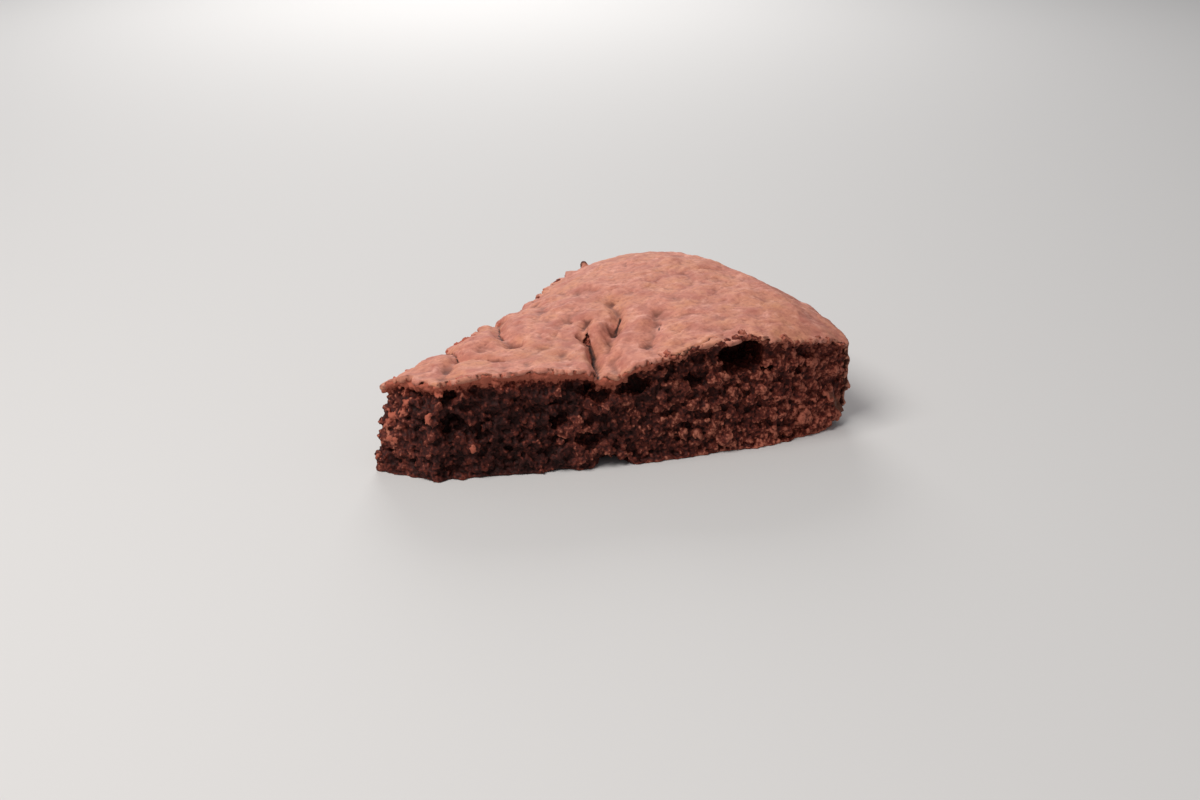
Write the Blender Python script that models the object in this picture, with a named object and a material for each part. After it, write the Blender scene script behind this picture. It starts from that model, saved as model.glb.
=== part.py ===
"""One slice of a round chocolate cake, lying on its flat base.

The slice is modelled about the centre of the whole round cake, with +X along the slice's middle
line, and is moved at the end so that the centre of its bounding box's base is the origin.
Run it with: blender --background --python part.py
"""

import math

import bmesh
import bpy
import numpy as np
from mathutils import Vector, noise

# Driving dimensions, in metres and radians.
CAKE_RADIUS = 0.130                  # a cake from a 260 mm tin
SLICE_ANGLE = math.radians(44.5)     # an eighth, cut by eye
TIP_RADIUS = 0.0140                  # the tip has broken off this far from the cake's centre
TIP_SLANT = 0.0087                   # and this much further off at the front cut
TIP_LEAN = 0.0048                    # the broken end leans back towards its top, more so at the back
# The risen and sunken top: radius, then its height at the front cut, in the middle and at the back cut.
TOP_HEIGHTS = (
    (0.014, 0.0243, 0.0228, 0.0188),
    (0.034, 0.0260, 0.0243, 0.0206),
    (0.050, 0.0276, 0.0250, 0.0198),
    (0.066, 0.0258, 0.0258, 0.0214),
    (0.077, 0.0266, 0.0276, 0.0198),
    (0.092, 0.0296, 0.0301, 0.0222),
    (0.104, 0.0297, 0.0313, 0.0230),
    (0.112, 0.0277, 0.0319, 0.0220),
    (0.120, 0.0260, 0.0311, 0.0202),
    (0.131, 0.0224, 0.0246, 0.0172),
)
FRONT_CROWN_POWER = 4.0              # how late the top falls from its middle height to each edge
BACK_CROWN_POWER = 2.6

# How the knife's two cuts and the broken corners leave the outline.
FRONT_BOW = 0.0040                   # the front cut bulges outwards
BACK_BOW = -0.0020                   # the back cut is hollow
FRONT_CORNER_INSET = 0.0080          # the rim's front corner is rounded off at its foot
FRONT_CORNER_UPRIGHT = 0.70          # and by this much less at its top
BACK_CORNER_INSET = 0.0055           # its back corner is rounded off all the way up
CORNER_START = 0.82                  # as a share of the way from the tip to the rim
RIM_BULGE = 0.0015                   # the rim is widest at half its height
FOOT_ROUNDING = 0.0050               # the rim's foot tucks in to the tin's rounded base
FOOT_SHARE = 0.22                    # up to this share of the height

# The baked crust on top.
CRUST_THICKNESS = 0.0016
CRUST_LIP = 0.0008                   # the crust's edge stands proud of the crumb
LIP_UNDERCUT = 0.0012                # and the crumb just below it is torn back

# The crumb's relief on the cut faces.
CRAG_DEPTH = 0.0013
CRAG_SIZE = 0.0048
CLOD_DEPTH = 0.0012
CLOD_SIZE = 0.0034
RIM_SMOOTHNESS = 0.35                # the baked rim keeps this share of the relief
OUTLINE_WAVER = 0.0012               # the slow waver of a hand-held knife
WAVER_SIZE = 0.022

# Pillows of crust between its creases.
PILLOW_DEPTH = 0.0011
PILLOW_SIZE = 0.017
WRINKLE_DEPTH = 0.0005
WRINKLE_SIZE = 0.006

# The mesh, counted along the radius, across the slice and up it, and the share of it that is kept.
ALONG, ACROSS, UP = 120, 62, 30
KEPT_SHARE = 0.205
BASE_DEPTH = 0.0012                  # extra depth below the base, which is then cut off flat

# Creases in the crust: points in the cake's plan, then width and depth.
CREASES = (
    (((0.0560, -0.0290), (0.0612, -0.0200), (0.0656, -0.0131), (0.0676, -0.0078)), 0.0016, 0.0028),
    (((0.0671, -0.0071), (0.0725, -0.0021)), 0.0012, 0.0008),
    (((0.0612, -0.0300), (0.0649, -0.0180), (0.0697, -0.0143), (0.0749, -0.0101)), 0.0028, 0.0022),
    (((0.0749, -0.0101), (0.0799, -0.0058), (0.0829, 0.0010)), 0.0020, 0.0014),
    (((0.0862, -0.0132), (0.0826, -0.0167), (0.0787, -0.0200), (0.0747, -0.0240)), 0.0024, 0.0013),
    (((0.0620, 0.0220), (0.0553, 0.0123), (0.0529, 0.0070), (0.0521, 0.0007)), 0.0020, 0.0018),
    (((0.0408, 0.0142), (0.0375, 0.0032), (0.0417, -0.0010), (0.0435, -0.0051)), 0.0016, 0.0012),
    (((0.0375, 0.0032), (0.0312, -0.0013), (0.0276, -0.0046)), 0.0018, 0.0009),
    (((0.0743, 0.0227), (0.0697, 0.0123)), 0.0018, 0.0007),
)
# Swellings of the crust: place in the plan, spread and rise.
SWELLINGS = (
    ((0.0320, -0.0080), 0.0070, 0.0008),
    ((0.0480, 0.0110), 0.0060, 0.0010),
    ((0.0712, -0.0085), 0.0034, 0.0016),
    ((0.0817, -0.0136), 0.0034, 0.0010),
    ((0.1048, 0.0425), 0.0016, 0.0026),
)
# Pockets left by large bubbles in the front cut: share along, share up, half width, half height, depth.
FRONT_POCKETS = (
    (0.705, 0.87, 0.0066, 0.0034, 0.0062),
    (0.012, 0.81, 0.0050, 0.0020, 0.0028),
    (0.040, 0.56, 0.0036, 0.0026, 0.0036),
    (0.278, 0.49, 0.0028, 0.0020, 0.0022),
    (0.359, 0.79, 0.0048, 0.0020, 0.0028),
    (0.464, 0.79, 0.0040, 0.0020, 0.0026),
    (0.600, 0.71, 0.0036, 0.0020, 0.0024),
    (0.343, 0.32, 0.0028, 0.0020, 0.0020),
    (0.406, 0.00, 0.0062, 0.0040, 0.0058),
    (0.284, 0.00, 0.0060, 0.0030, 0.0024),
)
BACK_POCKETS = (
    (0.30, 0.66, 0.0046, 0.0024, 0.0034),
    (0.62, 0.48, 0.0036, 0.0026, 0.0030),
    (0.80, 0.74, 0.0050, 0.0022, 0.0036),
    (0.46, 0.28, 0.0030, 0.0020, 0.0024),
)
CRUST_COLOUR = (0.46, 0.21, 0.14, 1.0)


def clear_scene():
    for obj in list(bpy.data.objects):
        bpy.data.objects.remove(obj)


def ease(value):
    """0 below 0, 1 above 1 and a smooth rise between."""
    value = min(1.0, max(0.0, value))
    return value * value * (3.0 - 2.0 * value)


def distance_to_path(x, y, path):
    """How far a place in the plan is from an open path of points."""
    here = Vector((x, y))
    nearest = math.inf
    for start, end in zip(path, path[1:]):
        a = Vector(start)
        along = Vector(end) - a
        share = min(1.0, max(0.0, (here - a).dot(along) / along.length_squared))
        nearest = min(nearest, (here - a - along * share).length)
    return nearest


def outline(u, v, w):
    """Plan position at share u from tip to rim, v from -1, the front cut, to 1, the back cut, and w up."""
    tip = TIP_RADIUS + TIP_SLANT * ((1.0 - v) / 2.0) ** 1.5 + TIP_LEAN * w * (1.0 + 0.5 * v)
    radius = tip + (CAKE_RADIUS - tip) * u
    angle = v * SLICE_ANGLE / 2
    bow, inset = BACK_BOW, BACK_CORNER_INSET
    if v < 0:
        bow, inset = FRONT_BOW, FRONT_CORNER_INSET * (1.0 - FRONT_CORNER_UPRIGHT * w)
    corner = max(0.0, (u - CORNER_START) / (1.0 - CORNER_START))
    sideways = bow * math.sin(math.pi * u) - inset * corner ** 2
    sideways *= v * abs(v)
    middle = math.cos(angle), math.sin(angle)
    return Vector((radius * middle[0] - sideways * middle[1], radius * middle[1] + sideways * middle[0], 0.0))


def crust_height(x, y, v):
    """Height of the crust above the base: the risen and sunken top, then its creases and pillows."""
    radius = math.hypot(x, y)
    stations, front, middle, back = zip(*TOP_HEIGHTS)
    edge, power = (front, FRONT_CROWN_POWER) if v < 0 else (back, BACK_CROWN_POWER)
    height = float(np.interp(radius, stations, middle))
    height += (float(np.interp(radius, stations, edge)) - height) * abs(v) ** power
    for place, spread, rise in SWELLINGS:
        apart = math.hypot(x - place[0], y - place[1]) / spread
        height += rise * math.exp(-apart * apart)
    for path, width, depth in CREASES:
        apart = distance_to_path(x, y, path) / width
        height -= depth * math.exp(-apart * apart)
    smoothness = 1.0 - 0.6 * ease((radius - 0.07) / 0.04)
    cell = noise.voronoi(Vector((x, y, 0.0)) / PILLOW_SIZE)[0]
    height += PILLOW_DEPTH * smoothness * (0.5 - cell[0] ** 2)
    height += WRINKLE_DEPTH * noise.fractal(Vector((x, y, 0.3)) / WRINKLE_SIZE, 0.8, 2.0, 2)
    return height


def pocket_depth(u, w, pockets, length, height):
    """How far bubbles hollow the cut face at share u along it and w up it."""
    depth = 0.0
    for along, up, half_width, half_height, deep in pockets:
        apart = math.hypot((u - along) * length / half_width, (w - up) * height / half_height)
        depth = max(depth, deep * ease(1.6 * (1.0 - apart)))
    return depth


def crag(point):
    """Relief of torn crumb at a point, out of the face where it is positive."""
    layered = Vector((point.x, point.y, point.z * 1.5)) / CRAG_SIZE
    clods = noise.voronoi(point / CLOD_SIZE)[0]
    relief = CRAG_DEPTH * noise.fractal(layered, 0.7, 2.0, 3)
    relief += CLOD_DEPTH * (min(1.0, clods[1] - clods[0]) - 0.45)
    return relief + OUTLINE_WAVER * noise.noise(Vector((point.x, point.y, 0.4 * point.z)) / WAVER_SIZE)


def lip(below_crust, point):
    """The crust's edge stands proud and the crumb just below it is torn back, unevenly."""
    uneven = 0.6 + 0.8 * noise.noise(point / 0.007)
    proud = CRUST_LIP * (1.0 - ease(below_crust / CRUST_THICKNESS))
    torn = math.exp(-(((below_crust - 2.2 * CRUST_THICKNESS) / CRUST_THICKNESS) ** 2))
    return proud - LIP_UNDERCUT * uneven * torn


def shaped(corner):
    """Where a point of the unit block goes on the slice."""
    u, v, w = corner.x + 0.5, corner.y * 2.0, corner.z + 0.5
    plan = outline(u, v, w)
    height = crust_height(plan.x, plan.y, v)
    point = Vector((plan.x, plan.y, w * (height + BASE_DEPTH) - BASE_DEPTH))
    outwards = Vector((0.0, 0.0, 0.0))
    radial = plan.normalized()
    sideways = Vector((-radial.y, radial.x, 0.0))
    if u > 0.999:
        outwards += radial
    if u < 0.001:
        outwards -= radial
    if abs(v) > 0.999:
        outwards += sideways * v
    rim = ease((u - 0.9) / 0.1)
    foot = max(0.0, 1.0 - w / FOOT_SHARE)
    point += radial * rim * (RIM_BULGE * math.sin(math.pi * w) - FOOT_ROUNDING * foot ** 2)
    if outwards.length > 0.0:
        outwards.normalize()
        pockets = FRONT_POCKETS if v < 0 else BACK_POCKETS
        relief = crag(point) + lip(height - point.z, point)
        if u > 0.999 and abs(v) < 0.999:
            relief *= RIM_SMOOTHNESS
        if abs(v) > 0.999:
            relief -= pocket_depth(u, w, pockets, CAKE_RADIUS - TIP_RADIUS, height)
        point += outwards * relief
    return point


def block():
    """A unit block with a grid on every side, which the slice is shaped from."""
    mesh = bmesh.new()
    bmesh.ops.create_cube(mesh, size=1.0)
    for axis, count in enumerate((ALONG, ACROSS, UP)):
        edges = [e for e in mesh.edges if abs((e.verts[0].co - e.verts[1].co)[axis]) > 0.5]
        bmesh.ops.subdivide_edges(mesh, edges=edges, cuts=count - 1, use_grid_fill=True)
    return mesh


def cut_flat(mesh):
    """Cuts the base off level, as the flat bottom of the tin leaves it."""
    everything = mesh.verts[:] + mesh.edges[:] + mesh.faces[:]
    bmesh.ops.bisect_plane(
        mesh, geom=everything, dist=1e-7, plane_co=(0.0, 0.0, 0.0), plane_no=(0.0, 0.0, 1.0), clear_inner=True
    )
    rim = [e for e in mesh.edges if e.is_boundary]
    bmesh.ops.holes_fill(mesh, edges=rim, sides=0)


def crust_material():
    material = bpy.data.materials.new("chocolate_cake")
    material.use_nodes = True
    shader = material.node_tree.nodes["Principled BSDF"]
    shader.inputs["Base Color"].default_value = CRUST_COLOUR
    shader.inputs["Roughness"].default_value = 0.85
    material.diffuse_color = CRUST_COLOUR
    return material


def make_slice():
    mesh = block()
    for vertex in mesh.verts:
        vertex.co = shaped(vertex.co)
    bmesh.ops.triangulate(mesh, faces=mesh.faces)
    bmesh.ops.recalc_face_normals(mesh, faces=mesh.faces)
    data = bpy.data.meshes.new("cake_slice")
    mesh.to_mesh(data)
    mesh.free()
    cake = bpy.data.objects.new("cake_slice", data)

    collection = bpy.data.collections.new("chocolate_cake_slice")
    bpy.context.scene.collection.children.link(collection)
    collection.objects.link(cake)

    # Fewer faces where the surface is even, then the flat base.
    thin = cake.modifiers.new("fewer_faces", "DECIMATE")
    thin.ratio = KEPT_SHARE
    bpy.context.view_layer.update()
    graph = bpy.context.evaluated_depsgraph_get()
    thinned = bpy.data.meshes.new_from_object(cake.evaluated_get(graph))
    cake.modifiers.clear()
    mesh = bmesh.new()
    mesh.from_mesh(thinned)
    cut_flat(mesh)
    bmesh.ops.triangulate(mesh, faces=mesh.faces)
    lowest = Vector([min(v.co[i] for v in mesh.verts) for i in range(3)])
    highest = Vector([max(v.co[i] for v in mesh.verts) for i in range(3)])
    centre = (lowest + highest) / 2
    bmesh.ops.translate(mesh, verts=mesh.verts, vec=(-centre.x, -centre.y, -lowest.z))
    mesh.to_mesh(data)
    mesh.free()
    bpy.data.meshes.remove(thinned)
    data.materials.append(crust_material())
    data.shade_smooth()
    return cake


clear_scene()
make_slice()
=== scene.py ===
"""A slice of chocolate cake: dark, porous crumb under a thin baked crust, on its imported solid.

Run by the renderer. Everything is in metres, +Z up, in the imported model's own frame.
"""

import math
import random

import bmesh
import bpy
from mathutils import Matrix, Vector, noise
from mathutils.bvhtree import BVHTree


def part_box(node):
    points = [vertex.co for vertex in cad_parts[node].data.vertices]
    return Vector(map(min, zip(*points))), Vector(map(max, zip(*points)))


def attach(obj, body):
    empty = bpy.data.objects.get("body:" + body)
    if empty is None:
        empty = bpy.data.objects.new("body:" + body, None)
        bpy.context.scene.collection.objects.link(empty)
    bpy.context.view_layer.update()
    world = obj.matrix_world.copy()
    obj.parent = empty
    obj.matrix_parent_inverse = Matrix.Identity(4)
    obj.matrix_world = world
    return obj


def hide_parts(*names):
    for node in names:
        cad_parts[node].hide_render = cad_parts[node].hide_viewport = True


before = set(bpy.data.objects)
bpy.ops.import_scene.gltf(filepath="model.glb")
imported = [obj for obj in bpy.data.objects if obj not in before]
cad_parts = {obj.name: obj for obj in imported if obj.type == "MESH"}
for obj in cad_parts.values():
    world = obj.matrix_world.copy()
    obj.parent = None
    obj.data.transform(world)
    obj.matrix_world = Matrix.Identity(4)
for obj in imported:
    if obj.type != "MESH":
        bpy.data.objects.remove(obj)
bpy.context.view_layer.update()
noise.seed_set(7)               # else the warps of noise_vector follow the clock
bpy.context.scene.view_settings.view_transform = "Standard"


# ---- The crumb ----
# Dark, moist cake, torn open by the knife and at its broken tip: clods of crumb a third of a
# millimetre to three millimetres across that cling together round ragged gaps. The tin has left
# its base flat, and one hole as big as a bean has opened under the crust.

low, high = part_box("cake_slice")
base_level = low.z
slice_middle = Vector((0.015, 0.0, 0.0))
cake_centre = Vector((high.x - 0.1315, 0.0013, 0.0))      # the middle of the whole round cake
rim_radius = 0.130
rim_shoulder = 0.0025                                     # how far the top is rounded over at the rim
in_plan = Vector((1.0, 1.0, 0.0))                         # leaves out a direction's height
downwards = Vector((0.0, 0.0, -1.0))
cut_turn = math.radians(22.25)                            # each cut's angle from the slice's middle line
along_cut = Vector((math.cos(cut_turn), -math.sin(cut_turn), 0.0))
front_outwards = Vector((-math.sin(cut_turn), -math.cos(cut_turn), 0.0))
back_outwards = Vector((-math.sin(cut_turn), math.cos(cut_turn), 0.0))
tip_outwards = Vector((-1.0, 0.0, 0.0))

soft_voxel = 0.0006
skin_voxel = 0.00026           # fine enough to keep the smallest crumbs
crumb_triangles = 358000
crust_depth = 0.0010                                      # the crumb stops this far below the crust's face
edge_inset = 0.0016                                       # where the crust's height is read beside a cut
top_slack = 0.0022                                        # how far the top dips on its slopes over that inset
tip_reach = 0.0120                                        # the broken tip's length
tip_swell = 0.0017                                        # and how far it bulges over its foot
bite_place = Vector((high.x - 0.0133, low.y + 0.0004, 0.0100))    # a bite in the front corner
bite_reach = 0.0033
bite_depth = 0.0012
foot_place = Vector((high.x - 0.0172, low.y + 0.0016, 0.0038))    # and the foot that stands out below it
foot_reach = 0.0084
foot_swell = 0.0054


def remade(piece):
    """Puts a piece's modifiers into its mesh."""
    graph = bpy.context.evaluated_depsgraph_get()
    mesh = bpy.data.meshes.new_from_object(piece.evaluated_get(graph))
    old = piece.data
    piece.modifiers.clear()
    piece.data = mesh
    bpy.data.meshes.remove(old)


def opened(piece):
    """A piece's mesh, ready to be worked on."""
    mesh = bmesh.new()
    mesh.from_mesh(piece.data)
    mesh.normal_update()
    return mesh


def put_back(mesh, piece):
    """Ends the work on a piece's mesh."""
    mesh.to_mesh(piece.data)
    mesh.free()


def made(mesh, name):
    """An object from a finished bmesh."""
    piece = bpy.data.objects.new(name, bpy.data.meshes.new(name))
    put_back(mesh, piece)
    bpy.context.scene.collection.objects.link(piece)
    return piece


def voxel_remesh(piece, voxel):
    """Merges a piece's parts into one even skin."""
    remesh = piece.modifiers.new("one_skin", "REMESH")
    remesh.mode = "VOXEL"
    remesh.voxel_size = voxel
    remade(piece)


def smoothed(piece, rounds):
    """Wears a piece's roughness away."""
    smooth = piece.modifiers.new("worn", "SMOOTH")
    smooth.factor = 0.5
    smooth.iterations = rounds
    remade(piece)


def ease(value):
    """0 below 0, 1 above 1 and a smooth rise between."""
    value = min(1.0, max(0.0, value))
    return value * value * (3.0 - 2.0 * value)


def above_base(point, start, rise):
    """0 up to a height above the base, 1 once past it by the rise."""
    return ease((point.z - base_level - start) / rise)


def plumped(point):
    """A point moved by the broken tip's bulge, the front corner's foot and the bite above that foot."""
    tip = ease((low.x + tip_reach - point.x) / 0.0080) * above_base(point, 0.0030, 0.0060)
    shift = foot_swell * (1.0 - ease((point - foot_place).length / foot_reach))
    shift -= bite_depth * (1.0 - ease((point - bite_place).length / bite_reach))
    return point - Vector((tip_swell * tip, 0.0, 0.0)) + along_cut * shift


def soft_slice(voxel):
    """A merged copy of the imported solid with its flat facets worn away."""
    mesh = bmesh.new()
    mesh.from_mesh(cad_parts["cake_slice"].data)
    bmesh.ops.remove_doubles(mesh, verts=mesh.verts, dist=1e-6)
    piece = made(mesh, "soft_slice")
    voxel_remesh(piece, voxel)
    smoothed(piece, 4)
    for vertex in piece.data.vertices:
        vertex.co = plumped(vertex.co)
    return piece


def skin_tree(piece):
    """A piece's skin, for finding the nearest point on it or what a ray meets."""
    mesh = opened(piece)
    tree = BVHTree.FromBMesh(mesh)
    mesh.free()
    return tree


def top_above(point):
    """Height of the crust's face just inside a point of the slice."""
    inwards = (slice_middle - point) * in_plan
    inner = point + inwards.normalized() * edge_inset
    hit = soft_skin.ray_cast(Vector((inner.x, inner.y, high.z + 0.01)), downwards)
    return hit[0].z if hit[0] else high.z


def rim_share(point, normal):
    """1 on the baked rim, 0 on the cut faces."""
    out = (point - cake_centre) * in_plan
    facing = ease((normal.dot(out.normalized()) - 0.55) / 0.25)
    return facing * ease((out.length - rim_radius + 0.010) / 0.006)


soft = soft_slice(soft_voxel)
soft_skin = skin_tree(soft)

caves = (                       # distance from the cake's middle, height, half length, half height, depth
    (0.0993, 0.0243, 0.0060, 0.0040, 0.0085),
    (0.0235, 0.0205, 0.0042, 0.0016, 0.0026),
    (0.0270, 0.0145, 0.0028, 0.0017, 0.0018),
    (0.0520, 0.0135, 0.0022, 0.0013, 0.0012),
    (0.0600, 0.0088, 0.0020, 0.0012, 0.0011),
    (0.0610, 0.0205, 0.0034, 0.0012, 0.0020),
    (0.0725, 0.0200, 0.0030, 0.0011, 0.0015),
    (0.0870, 0.0195, 0.0030, 0.0013, 0.0018),
    (0.1060, 0.0205, 0.0024, 0.0012, 0.0016),
    (0.1150, 0.0185, 0.0020, 0.0012, 0.0014),
)
clod_kinds = (                  # smallest and largest radius, share of points with one, depth in radii
    (0.00085, 0.00145, 0.014, 0.90),
    (0.00045, 0.00080, 0.090, 0.75),
    (0.00026, 0.00045, 0.230, 0.50),
    (0.00016, 0.00028, 0.280, 0.10),
)
tip_gaps = (                    # height, half height and depth of the gaps between the broken tip's lobes
    (0.0206, 0.0013, 0.0026),
    (0.0141, 0.0012, 0.0018),
    (0.0062, 0.0011, 0.0012),
)
buried_radii = (0.00016, 0.00038)       # smallest and largest radius of the loose crumbs under the crust
buried_sink = 0.00045                   # the least they lie under the crust's face
buried_spread = 0.00040                 # and how much further down they may lie
buried_reach = 0.0016                   # how near a cut they lie
buried_share = 0.50                     # share of points there with one
shape_count = 7


def cave_depth(point):
    """How far the crumb falls back here, straight in from the front cut, for the larger holes."""
    arm = (point - cake_centre) * in_plan
    behind = -arm.dot(front_outwards)
    deepest = 0.0
    wander = 0.35 * noise.noise(point / 0.0021)
    for reach, height, half_length, half_height, depth in caves:
        across = math.hypot((arm.length - reach) / half_length, (point.z - height) / half_height)
        deepest = max(deepest, depth * ease((1.15 + wander - across) / 0.45))
    return max(0.0, deepest - max(0.0, behind))


def from_cut(point):
    """How far a point of the top lies, in plan, from the nearest cut or from the broken tip."""
    arm = (point - cake_centre) * in_plan
    inner = point - arm.normalized() * rim_shoulder * ease((arm.length - 0.100) / 0.010)
    nearest = 1.0
    for outwards in (front_outwards, back_outwards, tip_outwards):
        furthest = 0.0
        for under in (0.0012, 0.0050):          # just under the crust and below the hole's roof
            _, face, _, distance = soft_skin.ray_cast(inner + downwards * under, outwards)
            if face is not None and face.dot(outwards) > 0.0:
                furthest = max(furthest, distance)
        nearest = min(nearest, furthest)
    return nearest


def tip_share(point):
    """1 on the broken tip, 0 on the rest of the slice."""
    return ease((low.x + 0.0110 - point.x) / 0.0060)


def sunken_share(point):
    """1 where the crust lies on the cake's sunken middle, 0 towards the rim."""
    return 1.0 - ease((point.x + 0.012) / 0.020)


def tip_gap_depth(point):
    """How much deeper the crumb lies between the lobes of the broken tip."""
    level = point.z + 0.0016 * noise.noise(point / 0.0048)
    deepest = max(depth * (1.0 - ease(abs(level - height) / half)) for height, half, depth in tip_gaps)
    return deepest * tip_share(point)


def core_depth(point):
    """How far the core lies under the cut faces: more in the gaps, where no clod clings."""
    wide = noise.noise(Vector((point.x, point.y, point.z * 1.5)) / 0.0052)
    fine = noise.noise(point / 0.0019)
    depth = 0.0009 + 0.0008 * ease(0.5 + 1.1 * wide) + 0.0008 * ease(0.3 + 1.4 * fine)
    return depth * (1.0 - 0.45 * tip_share(point))


def clod_shapes():
    """Lumpy clods a unit in radius, for the strewing to pick from."""
    shapes = bpy.data.collections.new("clod_shapes")
    for number in range(shape_count):
        mesh = bmesh.new()
        bmesh.ops.create_icosphere(mesh, subdivisions=2, radius=1.0)
        aside = Vector((9.0 * number, 0.0, 0.0))
        for vertex in mesh.verts:
            vertex.co *= 1.0 + 0.75 * noise.noise(vertex.co * 1.3 + aside)
        clod = bpy.data.objects.new("clod", bpy.data.meshes.new("clod"))
        put_back(mesh, clod)
        shapes.objects.link(clod)
    return shapes


def strewn(points, shapes, name):
    """One mesh of clods, each (place, turn, size, number of its shape), by Geometry Nodes."""
    mesh = bmesh.new()
    turn = mesh.verts.layers.float_vector.new("turn")
    size = mesh.verts.layers.float_vector.new("size")
    shape = mesh.verts.layers.int.new("shape")
    for place, turned, sized, number in points:
        vertex = mesh.verts.new(place)
        vertex[turn] = turned
        vertex[size] = sized
        vertex[shape] = number
    piece = made(mesh, name)

    tree = bpy.data.node_groups.new("strew", "GeometryNodeTree")
    tree.interface.new_socket("Geometry", in_out="INPUT", socket_type="NodeSocketGeometry")
    tree.interface.new_socket("Geometry", in_out="OUTPUT", socket_type="NodeSocketGeometry")
    nodes, links = tree.nodes, tree.links
    start, end = nodes.new("NodeGroupInput"), nodes.new("NodeGroupOutput")
    pool = nodes.new("GeometryNodeCollectionInfo")
    pool.inputs["Collection"].default_value = shapes
    pool.inputs["Separate Children"].default_value = True
    pool.inputs["Reset Children"].default_value = True
    lay = nodes.new("GeometryNodeInstanceOnPoints")
    lay.inputs["Pick Instance"].default_value = True
    wanted = (
        ("turn", "FLOAT_VECTOR", "Rotation"),
        ("size", "FLOAT_VECTOR", "Scale"),
        ("shape", "INT", "Instance Index"),
    )
    for label, kind, socket in wanted:
        read = nodes.new("GeometryNodeInputNamedAttribute")
        read.data_type = kind
        read.inputs["Name"].default_value = label
        links.new(read.outputs["Attribute"], lay.inputs[socket])
    real = nodes.new("GeometryNodeRealizeInstances")
    links.new(start.outputs[0], lay.inputs["Points"])
    links.new(pool.outputs[0], lay.inputs["Instance"])
    links.new(lay.outputs[0], real.inputs[0])
    links.new(real.outputs[0], end.inputs[0])
    piece.modifiers.new("strew", "NODES").node_group = tree
    remade(piece)
    return piece


def core_and_clods(chance):
    """The sunken core of the slice, and where the clods cling to its cut faces."""
    core = opened(soft)
    points = []
    for vertex in core.verts:
        point, normal = vertex.co.copy(), vertex.normal.copy()
        below = top_above(point) - point.z
        rim = rim_share(point, normal)
        if normal.z > 0.5 and below < top_slack:
            vertex.co = point - normal * crust_depth
            radius = chance.uniform(*buried_radii)
            turned = [chance.uniform(0.0, math.tau) for _ in range(3)]
            number = chance.randrange(shape_count)
            sunk = radius + buried_sink + chance.uniform(0.0, buried_spread)
            if chance.random() < buried_share and 0.0 < from_cut(point) < buried_reach:
                points.append((point - normal * sunk, turned, [radius] * 3, number))
            continue
        cave = cave_depth(point) * (1.0 - rim)
        gap = tip_gap_depth(point)
        under_crust = 0.55 + 0.45 * ease((below - 0.0010) / 0.0030)
        sink = (core_depth(point) * under_crust + gap) * (1.0 - rim) * above_base(point, 0.0002, 0.0008)
        sink = max(sink, crust_depth * rim * above_base(point, 0.0016, 0.0016))
        if normal.z < -0.1:
            sink = min(sink, max(0.0, below - 0.0014))
        point = point - front_outwards * cave
        vertex.co = point - normal * sink
        crowd = 0.50 + 0.95 * ease(0.5 + 1.3 * noise.noise(point / 0.0046)) + 0.6 * tip_share(point)
        crowd += 1.2 * (1.0 - ease((below - 0.0010) / (0.0016 + 0.0022 * sunken_share(point))))
        for smallest, largest, share, depth in clod_kinds:
            radius = chance.uniform(smallest, largest)
            turned = [chance.uniform(0.0, math.tau) for _ in range(3)]
            sized = [radius * chance.uniform(0.75, 1.25) for _ in range(3)]
            number = chance.randrange(shape_count)
            if chance.random() > share * crowd or rim > 0.3 or below < 0.8 * radius + 0.0001:
                continue
            if point.z < base_level + 0.7 * radius or (max(cave, gap) > 0.0006 and radius > 0.0005):
                continue
            place = max(radius * 0.90, sink - radius * (1.0 - depth) * chance.uniform(0.6, 1.4))
            points.append((point - normal * place, turned, sized, number))
    return core, points


def drop_scraps(mesh):
    """Deletes every loose part of a mesh but the largest."""
    parts, seen = [], set()
    for first in mesh.verts:
        if first in seen:
            continue
        part, waiting = [], [first]
        seen.add(first)
        while waiting:
            vertex = waiting.pop()
            part.append(vertex)
            for edge in vertex.link_edges:
                other = edge.other_vert(vertex)
                if other not in seen:
                    seen.add(other)
                    waiting.append(other)
        parts.append(part)
    parts.sort(key=len)
    scraps = [vertex for part in parts[:-1] for vertex in part]
    bmesh.ops.delete(mesh, geom=scraps, context="VERTS")


def crumb_piece():
    """The core with its clods, made one skin."""
    core, points = core_and_clods(random.Random(7))
    clods = strewn(points, clod_shapes(), "clods")
    core.from_mesh(clods.data)
    bpy.data.objects.remove(clods)
    piece = made(core, "crumb")
    voxel_remesh(piece, skin_voxel)
    skin = opened(piece)
    drop_scraps(skin)
    put_back(skin, piece)
    return piece


def roughen_crumb(piece):
    """Fine grain on the torn crumb, less on the rim and none on the base."""
    mesh = opened(piece)
    moved = []
    for vertex in mesh.verts:
        point, normal = vertex.co, vertex.normal
        warped = point + 0.0004 * noise.noise_vector(point / 0.0013)
        grain = 0.00045 * (0.50 - noise.voronoi(warped / 0.00095)[0][0])
        grain += 0.00022 * (0.50 - noise.voronoi(warped / 0.00050)[0][0])
        grain += 0.00022 * noise.noise(point / 0.00160)
        grain *= 1.0 - 0.75 * rim_share(point, normal)
        grain *= ease((point.z - base_level) / 0.0006)
        moved.append(point + normal * grain)
    for vertex, place in zip(mesh.verts, moved):
        vertex.co = place
        vertex.co.z = max(vertex.co.z, base_level)
    put_back(mesh, piece)


def drop_doubled(mesh):
    """Deletes pairs of faces that share all their corners."""
    known, doubled = {}, set()
    for face in mesh.faces:
        corners = frozenset(face.verts)
        if corners in known:
            doubled.update((face, known[corners]))
        known[corners] = face
    bmesh.ops.delete(mesh, geom=list(doubled), context="FACES")


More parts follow.
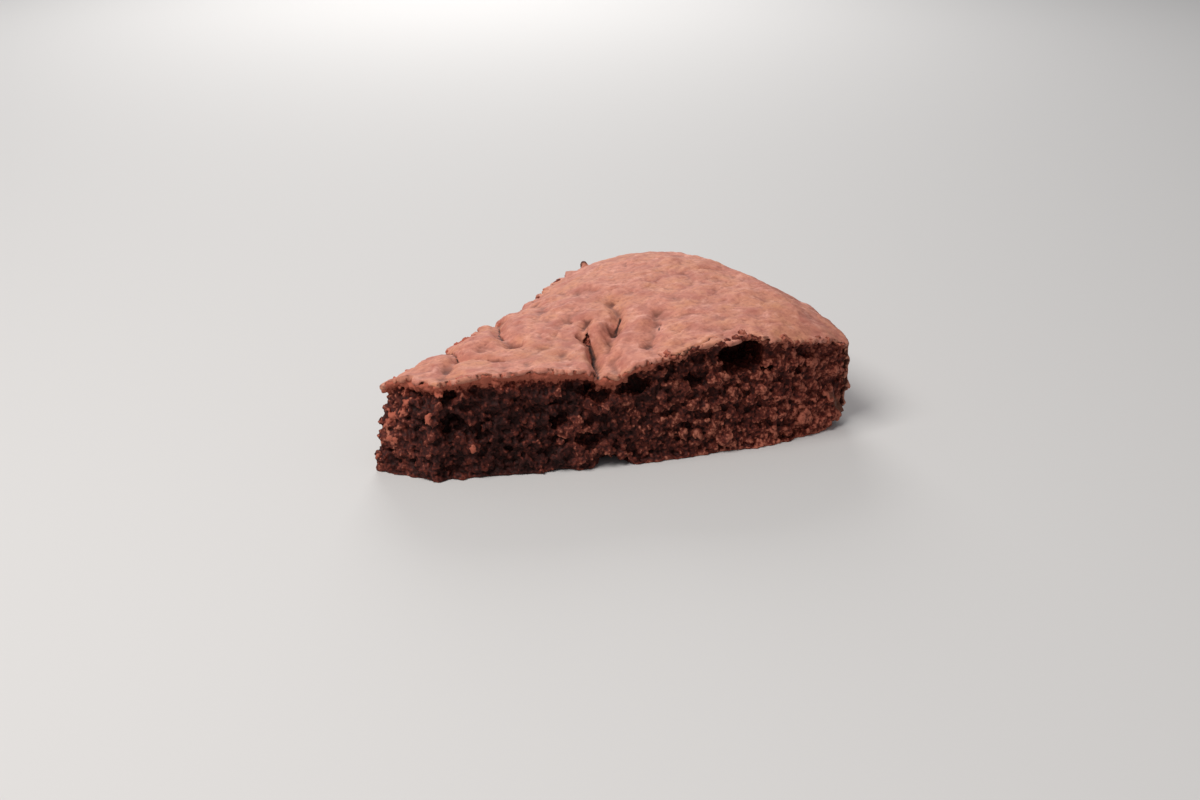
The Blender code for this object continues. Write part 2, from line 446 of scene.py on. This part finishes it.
def thin_out(piece, triangles):
    """Fewer faces where the skin is even, down to a number of triangles, in one skin with none doubled."""
    now = sum(len(face.vertices) - 2 for face in piece.data.polygons)
    if now > triangles:
        thin = piece.modifiers.new("fewer_faces", "DECIMATE")
        thin.ratio = triangles / now
        remade(piece)
    mesh = opened(piece)
    drop_scraps(mesh)
    drop_doubled(mesh)
    put_back(mesh, piece)


def halved(piece, name, side):
    """A closed half of a piece: side 1 keeps what lies behind the slice's middle line, -1 the rest."""
    mesh = opened(piece)
    for face in mesh.faces:
        face.smooth = True
    whole = mesh.verts[:] + mesh.edges[:] + mesh.faces[:]
    cut = bmesh.ops.bisect_plane(
        mesh, geom=whole, plane_co=slice_middle, plane_no=(0.0, side, 0.0), clear_inner=True, dist=1e-7
    )
    edges = [part for part in cut["geom_cut"] if isinstance(part, bmesh.types.BMEdge)]
    for edge in edges:
        edge.smooth = False
    bmesh.ops.holes_fill(mesh, edges=edges, sides=0)
    bmesh.ops.triangulate(mesh, faces=[face for face in mesh.faces if len(face.verts) > 4])
    drop_doubled(mesh)
    return made(mesh, name)


def store(piece, name, values):
    """A number at each point of a piece, for its material to read."""
    layer = piece.data.attributes.new(name, "FLOAT", "POINT")
    layer.data.foreach_set("value", values)


def evened(piece, rounds):
    """The places of a piece's points once its folds or clods are smoothed away."""
    copy = piece.copy()
    copy.data = piece.data.copy()
    bpy.context.scene.collection.objects.link(copy)
    smoothed(copy, rounds)
    places = [vertex.co.copy() for vertex in copy.data.vertices]
    bpy.data.objects.remove(copy)
    return places


def paint_crumb(piece):
    """Stores, for the material, painted shade by depth and by hollowness, the baked rim, and how far the oven
    has browned each point together with painted light under the crust's edge and on the broken tip.
    """
    depth_shades, hollow_shadings, rims, browning_and_lights = [], [], [], []
    for vertex, even in zip(piece.data.vertices, evened(piece, 10)):
        place, normal, _, distance = soft_skin.find_nearest(vertex.co)
        inside = (place - vertex.co).dot(normal)
        # painted shade: the deeper a point lies under the slice's skin, the darker its colour
        depth_shades.append(min(2.4, math.copysign(distance, inside) * 1000.0))
        # painted shade in the hollows and painted light on the bumps
        hollow_shadings.append(max(-0.22, (even - vertex.co).dot(vertex.normal) * 1000.0))
        rims.append(rim_share(vertex.co, normal))
        sunken = sunken_share(vertex.co)
        # Oven browning and painted light together: lighter and redder near the crust and the rim, partly
        # browned there and partly painted light against the shade under the crust's edge, painted light on
        # the broken tip, and darker in the moist middle.
        near_crust = 1.0 - ease((top_above(vertex.co) - vertex.co.z - 0.0008) / (0.0034 + 0.0016 * sunken))
        near_rim = ease((vertex.co.x + 0.005) / 0.045) * (1.0 - 0.7 * near_crust)
        near_tip = ease((-0.046 - vertex.co.x) / 0.008)
        moist = (1.0 - ease((vertex.co.x + 0.030) / 0.022)) * (1.0 - near_crust)
        near_crust *= 0.3 + 2.2 * sunken
        browning_and_lights.append(near_crust + 0.9 * near_rim + 0.4 * near_tip - 0.60 * moist)
    store(piece, "browning_and_painted_light", browning_and_lights)
    store(piece, "depth_shade", depth_shades)
    store(piece, "hollow_shading", hollow_shadings)
    store(piece, "baked_rim", rims)


def crumb_material():
    """Near black in the gaps, dark brown on the clods' flanks, reddish on their tops: painted shade and
    painted light over the crumb's own brown.
    """
    material = bpy.data.materials.new("torn_crumb")
    material.use_nodes = True
    nodes, links = material.node_tree.nodes, material.node_tree.links
    shader = nodes["Principled BSDF"]
    shader.inputs["Roughness"].default_value = 0.62
    shader.inputs["Specular IOR Level"].default_value = 0.16
    place = nodes.new("ShaderNodeTexCoord").outputs["Object"]

    def blotches(scale, detail):
        texture = nodes.new("ShaderNodeTexNoise")
        texture.inputs["Scale"].default_value = scale
        texture.inputs["Detail"].default_value = detail
        texture.inputs["Roughness"].default_value = 0.65
        links.new(place, texture.inputs["Vector"])
        return texture.outputs["Fac"]

    def stored(name):
        attribute = nodes.new("ShaderNodeAttribute")
        attribute.attribute_name = name
        return attribute.outputs["Fac"]

    def weighed(value, weight, rest=0.0):
        step = nodes.new("ShaderNodeMath")
        step.operation = "MULTIPLY_ADD"
        step.inputs[1].default_value = weight
        links.new(value, step.inputs[0])
        if isinstance(rest, float):
            step.inputs[2].default_value = rest
        else:
            links.new(rest, step.inputs[2])
        return step.outputs[0]

    # 0 on the lightest tops and 1 in the deepest gaps: painted shade from depth and hollowness, painted light
    # on the tops, near the crust and on the tip, besides browning and random tone.
    painted_shade_and_tone = weighed(stored("depth_shade"), 0.12, 2.15)
    painted_shade_and_tone = weighed(stored("hollow_shading"), 1.25, painted_shade_and_tone)
    painted_shade_and_tone = weighed(stored("browning_and_painted_light"), -0.30, painted_shade_and_tone)
    painted_shade_and_tone = weighed(blotches(1500.0, 3.0), -1.05, painted_shade_and_tone)
    painted_shade_and_tone = weighed(blotches(420.0, 3.0), -1.3, painted_shade_and_tone)
    painted_shade_and_tone = weighed(blotches(150.0, 2.0), -1.1, painted_shade_and_tone)
    colour = nodes.new("ShaderNodeValToRGB")
    stops = colour.color_ramp.elements
    stops[0].position, stops[0].color = 0.0, (0.400, 0.135, 0.085, 1.0)
    stops[1].position, stops[1].color = 1.0, (0.016, 0.0036, 0.0027, 1.0)
    for position, tone in ((0.28, (0.140, 0.028, 0.017, 1.0)), (0.60, (0.048, 0.0100, 0.0074, 1.0))):
        stops.new(position).color = tone
    links.new(painted_shade_and_tone, colour.inputs["Fac"])

    redder = nodes.new("ShaderNodeMix")
    redder.data_type = "RGBA"
    redder.blend_type = "MULTIPLY"
    redder.inputs["B"].default_value = (1.04, 0.82, 0.80, 1.0)
    links.new(weighed(stored("browning_and_painted_light"), 0.7), redder.inputs["Factor"])
    links.new(colour.outputs["Color"], redder.inputs["A"])

    baked = nodes.new("ShaderNodeMix")
    baked.data_type = "RGBA"
    baked.inputs["B"].default_value = (0.150, 0.058, 0.036, 1.0)
    links.new(stored("baked_rim"), baked.inputs["Factor"])
    links.new(redder.outputs["Result"], baked.inputs["A"])
    links.new(baked.outputs["Result"], shader.inputs["Base Color"])

    bump = nodes.new("ShaderNodeBump")
    bump.inputs["Strength"].default_value = 0.7
    bump.inputs["Distance"].default_value = 0.0002
    links.new(blotches(2400.0, 3.0), bump.inputs["Height"])
    links.new(bump.outputs["Normal"], shader.inputs["Normal"])
    return material


def dress(piece, material):
    """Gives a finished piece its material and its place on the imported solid."""
    piece.data.materials.clear()
    piece.data.materials.append(material)
    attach(piece, "root")
    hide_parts("cake_slice")


torn = crumb_material()
whole_crumb = crumb_piece()
roughen_crumb(whole_crumb)
thin_out(whole_crumb, crumb_triangles)
paint_crumb(whole_crumb)
for half_name, half_side in (("front_crumb", -1.0), ("back_crumb", 1.0)):
    dress(halved(whole_crumb, half_name, half_side), torn)
bpy.data.objects.remove(whole_crumb)


# ---- The crust ----
# A dry, brittle skin just under a millimetre thick that baked on top of the cake and down its
# rim, sank with the middle and creased. The knife has broken its edge into flakes that stand a
# little proud, and hair cracks run in from it.

crust_thickness = 0.00085
crust_triangles = 190000
sheet_voxel = 0.00032
fold_rounds = 180     # rounds of smoothing that take the folds out
edge_bite = 0.0009              # how far the knife has bitten into the crust's edge
nub_place = Vector((0.0325, 0.0432))    # a blister of crust that stands up at the back edge
nub_reach = 0.0014
nub_height = 0.0017
cracks = (                      # half width, depth, and the path on top of the slice
    (0.00032, 0.0008, ((-0.0150, -0.0244), (-0.0091, -0.0150), (-0.0067, -0.0118), (-0.0047, -0.0068))),
    (0.00016, 0.0002, ((-0.0047, -0.0068), (-0.0030, -0.0046))),
    (0.00026, 0.0006, ((0.0026, -0.0088), (0.0076, -0.0045))),
    (0.00018, 0.0003, ((0.0110, -0.0165), (0.0080, -0.0190))),
    (0.00020, 0.0005, ((-0.0120, 0.0209), (-0.0170, 0.0136), (-0.0194, 0.0083))),
    (0.00022, 0.0005, ((-0.0315, 0.0155), (-0.0348, 0.0045), (-0.0306, 0.0003))),
    (0.00040, 0.0008, ((-0.0310, 0.0008), (-0.0301, -0.0001))),
    (0.00020, 0.0007, ((-0.0010, -0.0310), (-0.0003, -0.0290))),
    (0.00018, 0.0007, ((0.0018, -0.0339), (0.0030, -0.0331), (0.0045, -0.0335), (0.0065, -0.0336))),
    (0.00018, 0.0007, ((0.0065, -0.0336), (0.0077, -0.0342), (0.0106, -0.0345), (0.0118, -0.0340))),
    (0.00018, 0.0007, ((0.0118, -0.0340), (0.0128, -0.0352))),
)
crack_lines = [(width, depth, [Vector(spot) for spot in path]) for width, depth, path in cracks]


def to_line(point, start, end):
    """Distance in plan from a point to a stretch of line."""
    along = end - start
    share = min(1.0, max(0.0, (point - start).dot(along) / along.length_squared))
    return (point - start - along * share).length


def fold_share(point):
    """How strongly the folds stand out: most where the sunken middle has creased the crust."""
    return 1.0 - 0.7 * ease((point.x - 0.005) / 0.025)


def crack_at(point):
    """How deep a crack is at a point of the crust, and its share of that crack's full depth."""
    jitter = noise.noise_vector(point / 0.0016)
    flat = Vector((point.x + 0.00035 * jitter.x, point.y + 0.00035 * jitter.y))
    deepest, share = 0.0, 0.0
    for width, depth, path in crack_lines:
        near = min(to_line(flat, path[index], path[index + 1]) for index in range(len(path) - 1))
        here = 1.0 - ease(near / (1.6 * width))
        deepest = max(deepest, depth * here)
        share = max(share, here)
    return deepest, share


def crust_zone(point, normal):
    """True where the baked skin covers the slice: its top and its rim, short of a torn edge."""
    ragged = noise.noise(point / 0.0027) + 0.7 * noise.noise(point / 0.0010)
    if rim_share(point, normal) > 0.5:
        return point.z > base_level + 0.0012 + 0.0005 * ragged
    if normal.z < 0.40 + 0.20 * ragged or top_above(point) - point.z > top_slack:
        return False
    return from_cut(point) > edge_bite * ragged


def crust_piece():
    """The skin of the slice's top and rim, torn at its edge and given its thickness."""
    sheet_piece = soft_slice(sheet_voxel)
    sheet = opened(sheet_piece)
    bpy.data.objects.remove(sheet_piece)
    lost = [vertex for vertex in sheet.verts if not crust_zone(vertex.co, vertex.normal)]
    bmesh.ops.delete(sheet, geom=lost, context="VERTS")
    drop_scraps(sheet)
    piece = made(sheet, "baked_crust")
    shell = piece.modifiers.new("thickness", "SOLIDIFY")
    shell.thickness = crust_thickness
    shell.offset = -1.0
    remade(piece)
    voxel_remesh(piece, skin_voxel)
    return piece


def roughen_crust(piece):
    """Deeper folds, wrinkles, pores and cracks in the outer face, and crumbs along the torn edge."""
    mesh = opened(piece)
    moved = []
    for vertex, even in zip(mesh.verts, evened(piece, fold_rounds)):
        point, normal = vertex.co, vertex.normal
        fold = max(-0.0005, min(0.0003, 0.85 * (point - even).dot(normal) * fold_share(point)))
        _, face, _, distance = soft_skin.find_nearest(point)
        outer = ease((face.dot(normal) - 0.2) / 0.5) * ease((0.0006 - distance) / 0.0003)
        wrinkle = fold + 0.00026 * noise.noise(point / 0.0062)
        wrinkle += 0.00017 * noise.fractal(point / 0.0026, 0.8, 2.1, 4)
        warped = point + 0.0016 * noise.noise_vector(point / 0.0060)
        crackle = noise.voronoi(warped / 0.0075)[0]
        here = ease((noise.noise(point / 0.0130) + 0.10) / 0.30)
        wrinkle -= 0.00013 * here * (1.0 - ease((crackle[1] - crackle[0]) / 0.10))
        pore = noise.voronoi(point / 0.0030)[0][0]
        wrinkle -= 0.00020 * ease((0.14 - pore) / 0.06)
        wrinkle -= crack_at(point)[0]
        wrinkle += nub_height * (1.0 - ease((point.xy - nub_place).length / nub_reach))
        wrinkle = max(-0.8 * crust_thickness, wrinkle)
        edge = 0.00050 * noise.fractal(point / 0.0008, 0.7, 2.0, 2)
        moved.append(point + normal * (wrinkle * outer + edge * (1.0 - outer)))
    for vertex, spot in zip(mesh.verts, moved):
        vertex.co = spot
    put_back(mesh, piece)


def paint_crust(piece):
    """Stores where the crust's section shows, each point's share of a crack and its hollowness, both for
    painted shade, and its rim.
    """
    sections, crack_shades, hollow_shadings, rims = [], [], [], []
    for vertex, even in zip(piece.data.vertices, evened(piece, 40)):
        place, normal, _, distance = soft_skin.find_nearest(vertex.co)
        sunk = ease((distance - 0.00055) / 0.00020)
        turned = 1.0 - ease((normal.dot(vertex.normal) - 0.05) / 0.45)
        sections.append(max(sunk, turned))
        crack_shades.append(crack_at(vertex.co)[1])
        hollow_shadings.append((even - vertex.co).dot(vertex.normal) * 1000.0)
        rims.append(rim_share(vertex.co, normal))
    store(piece, "section", sections)
    store(piece, "crack", crack_shades)
    store(piece, "hollow_shading", hollow_shadings)
    store(piece, "baked_rim", rims)


def crust_material():
    """Pinkish brown and matt, with painted shade in its creases and near black painted shade in its cracks,
    and crumb brown where it is broken through.
    """
    material = bpy.data.materials.new("baked_crust")
    material.use_nodes = True
    nodes, links = material.node_tree.nodes, material.node_tree.links
    shader = nodes["Principled BSDF"]
    shader.inputs["Roughness"].default_value = 0.74
    shader.inputs["Specular IOR Level"].default_value = 0.35
    place = nodes.new("ShaderNodeTexCoord").outputs["Object"]

    def blotches(scale, detail):
        texture = nodes.new("ShaderNodeTexNoise")
        texture.inputs["Scale"].default_value = scale
        texture.inputs["Detail"].default_value = detail
        texture.inputs["Roughness"].default_value = 0.62
        links.new(place, texture.inputs["Vector"])
        return texture.outputs["Fac"]

    def ranged(value, start, end, most=1.0):
        """A number brought to 0 at one value and to the most at another."""
        span = nodes.new("ShaderNodeMapRange")
        span.inputs["From Min"].default_value = start
        span.inputs["From Max"].default_value = end
        span.inputs["To Max"].default_value = most
        links.new(value, span.inputs["Value"])
        return span.outputs["Result"]

    def stored(name, start, end):
        attribute = nodes.new("ShaderNodeAttribute")
        attribute.attribute_name = name
        return ranged(attribute.outputs["Fac"], start, end)

    def mixed(factor, first, second):
        mix = nodes.new("ShaderNodeMix")
        mix.data_type = "RGBA"
        for socket, value in (("Factor", factor), ("A", first), ("B", second)):
            if isinstance(value, tuple):
                mix.inputs[socket].default_value = value
            else:
                links.new(value, mix.inputs[socket])
        return mix.outputs["Result"]

    mottle = nodes.new("ShaderNodeValToRGB")
    stops = mottle.color_ramp.elements
    stops[0].position, stops[0].color = 0.36, (0.45, 0.152, 0.108, 1.0)
    stops[1].position, stops[1].color = 0.66, (0.67, 0.275, 0.188, 1.0)
    links.new(blotches(190.0, 5.0), mottle.inputs["Fac"])
    tan = ranged(blotches(95.0, 2.0), 0.45, 0.75, 0.8)
    colour = mixed(tan, mottle.outputs["Color"], (0.54, 0.225, 0.115, 1.0))
    pale = ranged(blotches(270.0, 4.0), 0.54, 0.72, 0.65)
    colour = mixed(pale, colour, (0.80, 0.390, 0.300, 1.0))
    speckle = ranged(blotches(800.0, 3.0), 0.46, 0.66, 0.60)
    colour = mixed(speckle, colour, (0.36, 0.122, 0.082, 1.0))
    # painted shade in the creases
    colour = mixed(stored("hollow_shading", 0.02, 0.50), colour, (0.16, 0.050, 0.032, 1.0))
    colour = mixed(stored("baked_rim", 0.0, 1.6), colour, (0.24, 0.082, 0.052, 1.0))
    apart = nodes.new("ShaderNodeSeparateXYZ")
    links.new(place, apart.inputs["Vector"])
    outer = ranged(apart.outputs["X"], -0.020, 0.015)
    broken = mixed(outer, (0.36, 0.126, 0.080, 1.0), (0.19, 0.056, 0.037, 1.0))
    torn = mixed(blotches(1400.0, 3.0), broken, (0.014, 0.003, 0.002, 1.0))
    colour = mixed(stored("section", 0.0, 1.0), colour, torn)
    # painted shade: near black along the cracks
    colour = mixed(stored("crack", 0.15, 0.75), colour, (0.025, 0.008, 0.006, 1.0))
    links.new(colour, shader.inputs["Base Color"])

    bump = nodes.new("ShaderNodeBump")
    bump.inputs["Strength"].default_value = 0.6
    bump.inputs["Distance"].default_value = 0.0002
    links.new(blotches(1300.0, 4.0), bump.inputs["Height"])
    links.new(bump.outputs["Normal"], shader.inputs["Normal"])
    return material


crust = crust_piece()
roughen_crust(crust)
thin_out(crust, crust_triangles)
paint_crust(crust)
crust.data.shade_smooth()
dress(crust, crust_material())
bpy.data.objects.remove(soft)


# ---- The floor, the light and the camera ----
# A pale table top under one large soft light high on the left, with a weak one behind on the
# right that catches the far edge, and the camera looking down at the front cut.

camera_turn = math.radians(-38.0)
camera_height = math.radians(24.0)
camera_place = Vector((-0.2307, -0.3013, 0.1739))
film_width = 36.0               # in millimetres, as is the focal length
focal_length = 48.45
light_size = 0.40
floor_reach = 4.0


def floor_piece():
    """A wide, matt table top at the height of the cake's base."""
    mesh = bmesh.new()
    bmesh.ops.create_grid(mesh, x_segments=1, y_segments=1, size=floor_reach)
    piece = made(mesh, "floor")
    piece.location.z = base_level
    material = bpy.data.materials.new("pale_floor")
    material.use_nodes = True
    shader = material.node_tree.nodes["Principled BSDF"]
    shader.inputs["Base Color"].default_value = (0.62, 0.61, 0.60, 1.0)
    shader.inputs["Roughness"].default_value = 0.9
    piece.data.materials.append(material)
    return piece


def soft_light(name, place, size, power, colour):
    """A square light that faces the slice."""
    lamp = bpy.data.lights.new(name, "AREA")
    lamp.shape = "SQUARE"
    lamp.size = size
    lamp.energy = power
    lamp.color = colour
    piece = bpy.data.objects.new(name, lamp)
    piece.location = place
    piece.rotation_euler = (Vector(place) - slice_middle).to_track_quat("Z", "Y").to_euler()
    bpy.context.scene.collection.objects.link(piece)


floor_piece()
soft_light("key_light", (-0.42, -0.02, 0.66), light_size, 5.2, (1.0, 0.97, 0.94))
soft_light("edge_light", (0.35, 0.60, 0.35), light_size, 2.6, (1.0, 0.99, 0.98))
world = bpy.data.worlds.new("soft_room")
bpy.context.scene.world = world
world.use_nodes = True
world.node_tree.nodes["Background"].inputs["Color"].default_value = (0.93, 0.95, 1.0, 1.0)
world.node_tree.nodes["Background"].inputs["Strength"].default_value = 0.26

back = Vector(
    (
        math.sin(camera_turn) * math.cos(camera_height),
        -math.cos(camera_turn) * math.cos(camera_height),
        math.sin(camera_height),
    )
)
lens = bpy.data.cameras.new("camera")
lens.sensor_width = film_width
lens.lens = focal_length
lens.clip_start = 0.01
camera = bpy.data.objects.new("camera", lens)
camera.location = camera_place
camera.rotation_euler = back.to_track_quat("Z", "Y").to_euler()
bpy.context.scene.collection.objects.link(camera)
bpy.context.scene.camera = camera
